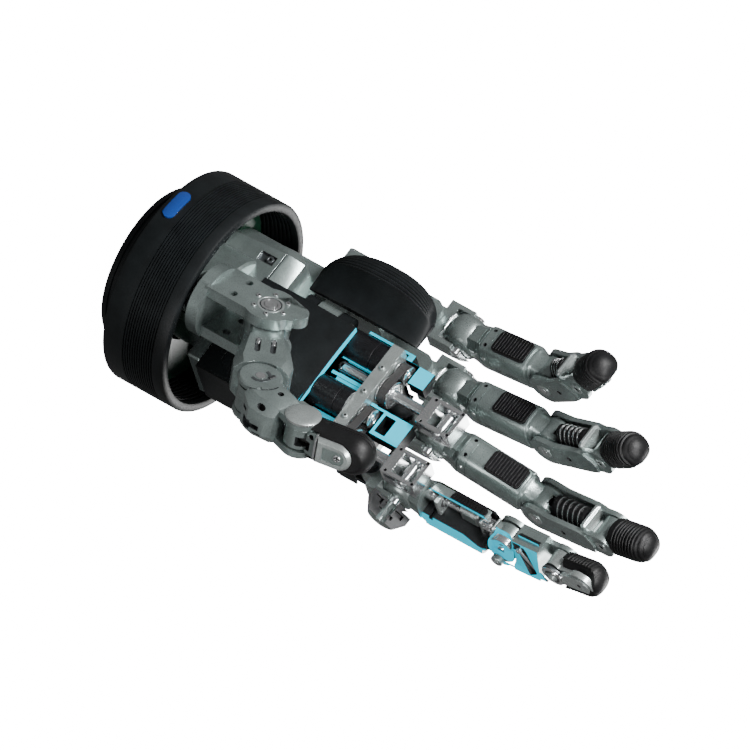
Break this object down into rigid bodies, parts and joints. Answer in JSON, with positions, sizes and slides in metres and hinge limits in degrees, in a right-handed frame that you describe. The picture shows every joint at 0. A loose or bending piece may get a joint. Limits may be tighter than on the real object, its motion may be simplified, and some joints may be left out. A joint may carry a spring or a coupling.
{
  "type": "five-finger prosthetic hand",
  "caption": "Right servo-electric five-finger hand on a ribbed wrist sleeve, with the palm front and index finger sectioned to show the motors, belt drives and screw linkage.",
  "frame": {"origin": "centre of the wrist flange's rear face", "axes": "+Z towards the fingertips, -Y out of the palm, +X towards the thumb and index side"},
  "size_m": [0.1104, 0.1051, 0.2371],
  "materials": {
    "grey_metal": "satin anodised grey",
    "light_metal": "fine machined",
    "knuckle_metal": "satin anodised light grey",
    "bright_metal": "polished turned steel",
    "steel_screws": "satin",
    "black_flange": "black anodised",
    "black_shell": "matte black",
    "black_motor": "satin black",
    "black_pad": "matte grip surface",
    "pad_rubber": "ribbed moulding",
    "belt_rubber": "toothed belt",
    "blue_badge": "plain blue badge",
    "green_board": "circuit board"
  },
  "bodies": {
    "frame": {"wrist_flange": "black_flange", "flange_screws": "steel_screws", "wrist_sleeve": "black_shell", "sleeve_badge": "blue_badge", "control_board": "green_board", "wrist_chassis": "grey_metal", "palm_housing": "black_shell", "palm_back_cover": "grey_metal", "motor_plate": "light_metal", "finger_motors": "black_motor", "drive_belts": "belt_rubber", "middle_knuckle": "knuckle_metal", "fold_pin": "bright_metal"},
    "outer_palm": {"outer_palm_frame": "grey_metal", "heel_pad": "black_pad"},
    "middle_pulley": {"middle_pulley": "bright_metal"},
    "index_pulley": {"index_pulley": "bright_metal"},
    "middle_pinion": {"middle_pinion": "bright_metal"},
    "index_pinion": {"index_pinion": "bright_metal"},
    "middle_clevis": {"middle_clevis": "bright_metal"},
    "index_clevis": {"index_clevis": "bright_metal"},
    "index_knuckle": {"index_knuckle": "knuckle_metal"},
    "ring_knuckle": {"ring_knuckle": "knuckle_metal"},
    "pinky_knuckle": {"pinky_knuckle": "knuckle_metal"},
    "index_screw": {"index_screw": "bright_metal"},
    "index_nut": {"index_nut": "light_metal"},
    "thumb_turntable": {"thumb_turntable": "grey_metal"},
    "thumb_metacarpal": {"thumb_metacarpal": "grey_metal", "thumb_pins": "bright_metal"},
    "thumb_proximal": {"thumb_proximal": "grey_metal"},
    "thumb_tip": {"thumb_tip": "grey_metal", "thumb_tip_rubber": "pad_rubber"},
    "index_proximal": {"index_proximal": "grey_metal", "index_pad": "pad_rubber", "index_pins": "bright_metal", "index_motor": "black_motor"},
    "index_middle": {"index_middle": "grey_metal"},
    "index_tip": {"index_tip": "grey_metal", "index_tip_rubber": "pad_rubber"},
    "middle_proximal": {"middle_proximal": "grey_metal", "middle_pad": "pad_rubber", "middle_pins": "bright_metal"},
    "middle_middle": {"middle_middle": "grey_metal", "middle_bellows": "pad_rubber"},
    "middle_tip": {"middle_tip": "grey_metal", "middle_tip_rubber": "pad_rubber"},
    "ring_proximal": {"ring_proximal": "grey_metal", "ring_pad": "pad_rubber", "ring_pins": "bright_metal"},
    "ring_middle": {"ring_middle": "grey_metal", "ring_bellows": "pad_rubber"},
    "ring_tip": {"ring_tip": "grey_metal", "ring_tip_rubber": "pad_rubber"},
    "pinky_proximal": {"pinky_proximal": "grey_metal", "pinky_pad": "pad_rubber", "pinky_pins": "bright_metal"},
    "pinky_middle": {"pinky_middle": "grey_metal", "pinky_bellows": "pad_rubber"},
    "pinky_tip": {"pinky_tip": "grey_metal", "pinky_tip_rubber": "pad_rubber"}
  },
  "joints": [
    {"name": "thumb_opposition", "type": "hinge", "parent": "frame", "child": "thumb_turntable", "pos_m": [0.0115, -0.027, 0.041], "axis": [0, 0, 1], "range_deg": [-46, 5]},
    {"name": "palm_fold", "type": "hinge", "parent": "frame", "child": "outer_palm", "pos_m": [-0.016, 0, 0.07], "axis": [0, 0, 1], "range_deg": [-1.51, 13.81]},
    {"name": "thumb_flexion", "type": "hinge", "parent": "thumb_turntable", "child": "thumb_metacarpal", "pos_m": [0.0115, -0.028, 0.069], "axis": [-0.5, -0.866, 0], "range_deg": [-10, 27]},
    {"name": "thumb_middle", "type": "hinge", "parent": "thumb_metacarpal", "child": "thumb_proximal", "pos_m": [0.04352, -0.04649, 0.0921], "axis": [-0.5, -0.866, 0], "range_deg": [-10.2, 27.5]},
    {"name": "thumb_end", "type": "hinge", "parent": "thumb_proximal", "child": "thumb_tip", "pos_m": [0.04968, -0.05004, 0.11774], "axis": [-0.5, -0.866, 0], "range_deg": [-14.5, 39.2]},
    {"name": "finger_spread", "type": "hinge", "parent": "outer_palm", "child": "pinky_knuckle", "pos_m": [-0.042, 0.016, 0.1], "axis": [0, -1, 0], "range_deg": [-3, 20]},
    {"name": "ring_spread", "type": "hinge", "parent": "outer_palm", "child": "ring_knuckle", "pos_m": [-0.021, 0.017, 0.11], "axis": [0, -1, 0], "range_deg": [-1.5, 10]},
    {"name": "index_spread", "type": "hinge", "parent": "frame", "child": "index_knuckle", "pos_m": [0.025, 0.011, 0.121], "axis": [0, 1, 0], "range_deg": [-0.75, 5]},
    {"name": "index_proximal", "type": "hinge", "parent": "index_knuckle", "child": "index_proximal", "pos_m": [0.025, 0.011, 0.137], "axis": [1, 0, 0], "range_deg": [-4, 41]},
    {"name": "index_distal", "type": "hinge", "parent": "index_proximal", "child": "index_middle", "pos_m": [0.025, 0.01016, 0.18499], "axis": [1, 0, 0], "range_deg": [-9, 67]},
    {"name": "index_tip", "type": "hinge", "parent": "index_middle", "child": "index_tip", "pos_m": [0.025, 0.00609, 0.21067], "axis": [1, 0, 0], "range_deg": [-9.5, 70.11]},
    {"name": "middle_proximal", "type": "hinge", "parent": "frame", "child": "middle_proximal", "pos_m": [0, 0.013, 0.134], "axis": [1, 0, 0], "range_deg": [0, 45.7]},
    {"name": "middle_distal", "type": "hinge", "parent": "middle_proximal", "child": "middle_middle", "pos_m": [0, 0.01996, 0.18351], "axis": [1, 0, 0], "range_deg": [-9, 62]},
    {"name": "middle_tip", "type": "hinge", "parent": "middle_middle", "child": "middle_tip", "pos_m": [0, 0.0144, 0.21503], "axis": [1, 0, 0], "range_deg": [-9.5, 64.89]},
    {"name": "ring_flex", "type": "hinge", "parent": "ring_knuckle", "child": "ring_proximal", "pos_m": [-0.021, 0.017, 0.126], "axis": [1, 0, 0], "range_deg": [-10, 44]},
    {"name": "ring_middle", "type": "hinge", "parent": "ring_proximal", "child": "ring_middle", "pos_m": [-0.021, 0.00832, 0.17524], "axis": [1, 0, 0], "range_deg": [-13.69, 59.89]},
    {"name": "ring_tip", "type": "hinge", "parent": "ring_middle", "child": "ring_tip", "pos_m": [-0.021, -0.00671, 0.2035], "axis": [1, 0, 0], "range_deg": [-14.3, 62.58]},
    {"name": "pinky_flex", "type": "hinge", "parent": "pinky_knuckle", "child": "pinky_proximal", "pos_m": [-0.042, 0.016, 0.116], "axis": [1, 0, 0], "range_deg": [-14, 42]},
    {"name": "pinky_middle", "type": "hinge", "parent": "pinky_proximal", "child": "pinky_middle", "pos_m": [-0.042, 0.00713, 0.15961], "axis": [1, 0, 0], "range_deg": [-19.12, 57.17]},
    {"name": "pinky_tip", "type": "hinge", "parent": "pinky_middle", "child": "pinky_tip", "pos_m": [-0.042, -0.00862, 0.17772], "axis": [1, 0, 0], "range_deg": [-19.98, 59.74]},
    {"name": "middle_pull", "type": "slide", "parent": "frame", "child": "middle_clevis", "axis": [0, 0, 1], "range_m": [-0.0118, 0.0002]},
    {"name": "index_pull", "type": "slide", "parent": "frame", "child": "index_clevis", "axis": [0, 0, 1], "range_m": [-0.0106, 0.0012]},
    {"name": "index_spindle", "type": "hinge", "parent": "frame", "child": "index_pulley", "pos_m": [0.025, -0.0034, 0.112], "axis": [0, 0, 1], "range_deg": [-93, 942]},
    {"name": "index_drive", "type": "hinge", "parent": "frame", "child": "index_pinion", "pos_m": [0.0131, -0.0034, 0.112], "axis": [0, 0, 1], "range_deg": [-150, 1526]},
    {"name": "middle_spindle", "type": "hinge", "parent": "frame", "child": "middle_pulley", "pos_m": [0, -0.0014, 0.112], "axis": [0, 0, 1], "range_deg": [-1, 1050]},
    {"name": "middle_drive", "type": "hinge", "parent": "frame", "child": "middle_pinion", "pos_m": [-0.0099, -0.0014, 0.112], "axis": [0, 0, 1], "range_deg": [-1, 1701]},
    {"name": "index_screw_spin", "type": "hinge", "parent": "index_proximal", "child": "index_screw", "pos_m": [0.0236, 0.00805, 0.15695], "axis": [0, -0.0175, 0.9998], "range_deg": [-148, 1096]},
    {"name": "index_nut_travel", "type": "slide", "parent": "index_proximal", "child": "index_nut", "axis": [0, -0.0175, 0.9998], "range_m": [-0.00618, 0.00092]}
  ],
  "couplings": [
    {"joint": "palm_fold", "follows": "thumb_opposition", "ratio": -0.3},
    {"joint": "thumb_middle", "follows": "thumb_flexion", "ratio": 1.015},
    {"joint": "thumb_end", "follows": "thumb_flexion", "ratio": 1.449},
    {"joint": "ring_spread", "follows": "finger_spread", "ratio": 0.5},
    {"joint": "index_spread", "follows": "finger_spread", "ratio": 0.25},
    {"joint": "index_tip", "follows": "index_distal", "ratio": 1.045},
    {"joint": "middle_tip", "follows": "middle_distal", "ratio": 1.045},
    {"joint": "ring_middle", "follows": "ring_flex", "ratio": 1.3588},
    {"joint": "ring_tip", "follows": "ring_flex", "ratio": 1.42},
    {"joint": "pinky_middle", "follows": "pinky_flex", "ratio": 1.3588},
    {"joint": "pinky_tip", "follows": "pinky_flex", "ratio": 1.42},
    {"joint": "middle_pull", "follows": "middle_proximal", "m_per_rad": -0.01461},
    {"joint": "index_pull", "follows": "index_proximal", "m_per_rad": -0.01461},
    {"joint": "index_spindle", "follows": "index_proximal", "ratio": 22.949},
    {"joint": "index_drive", "follows": "index_proximal", "ratio": 37.193},
    {"joint": "middle_spindle", "follows": "middle_proximal", "ratio": 22.949},
    {"joint": "middle_drive", "follows": "middle_proximal", "ratio": 37.193},
    {"joint": "index_screw_spin", "follows": "index_distal", "ratio": 16.336},
    {"joint": "index_nut_travel", "follows": "index_distal", "m_per_rad": -0.0052}
  ]
}
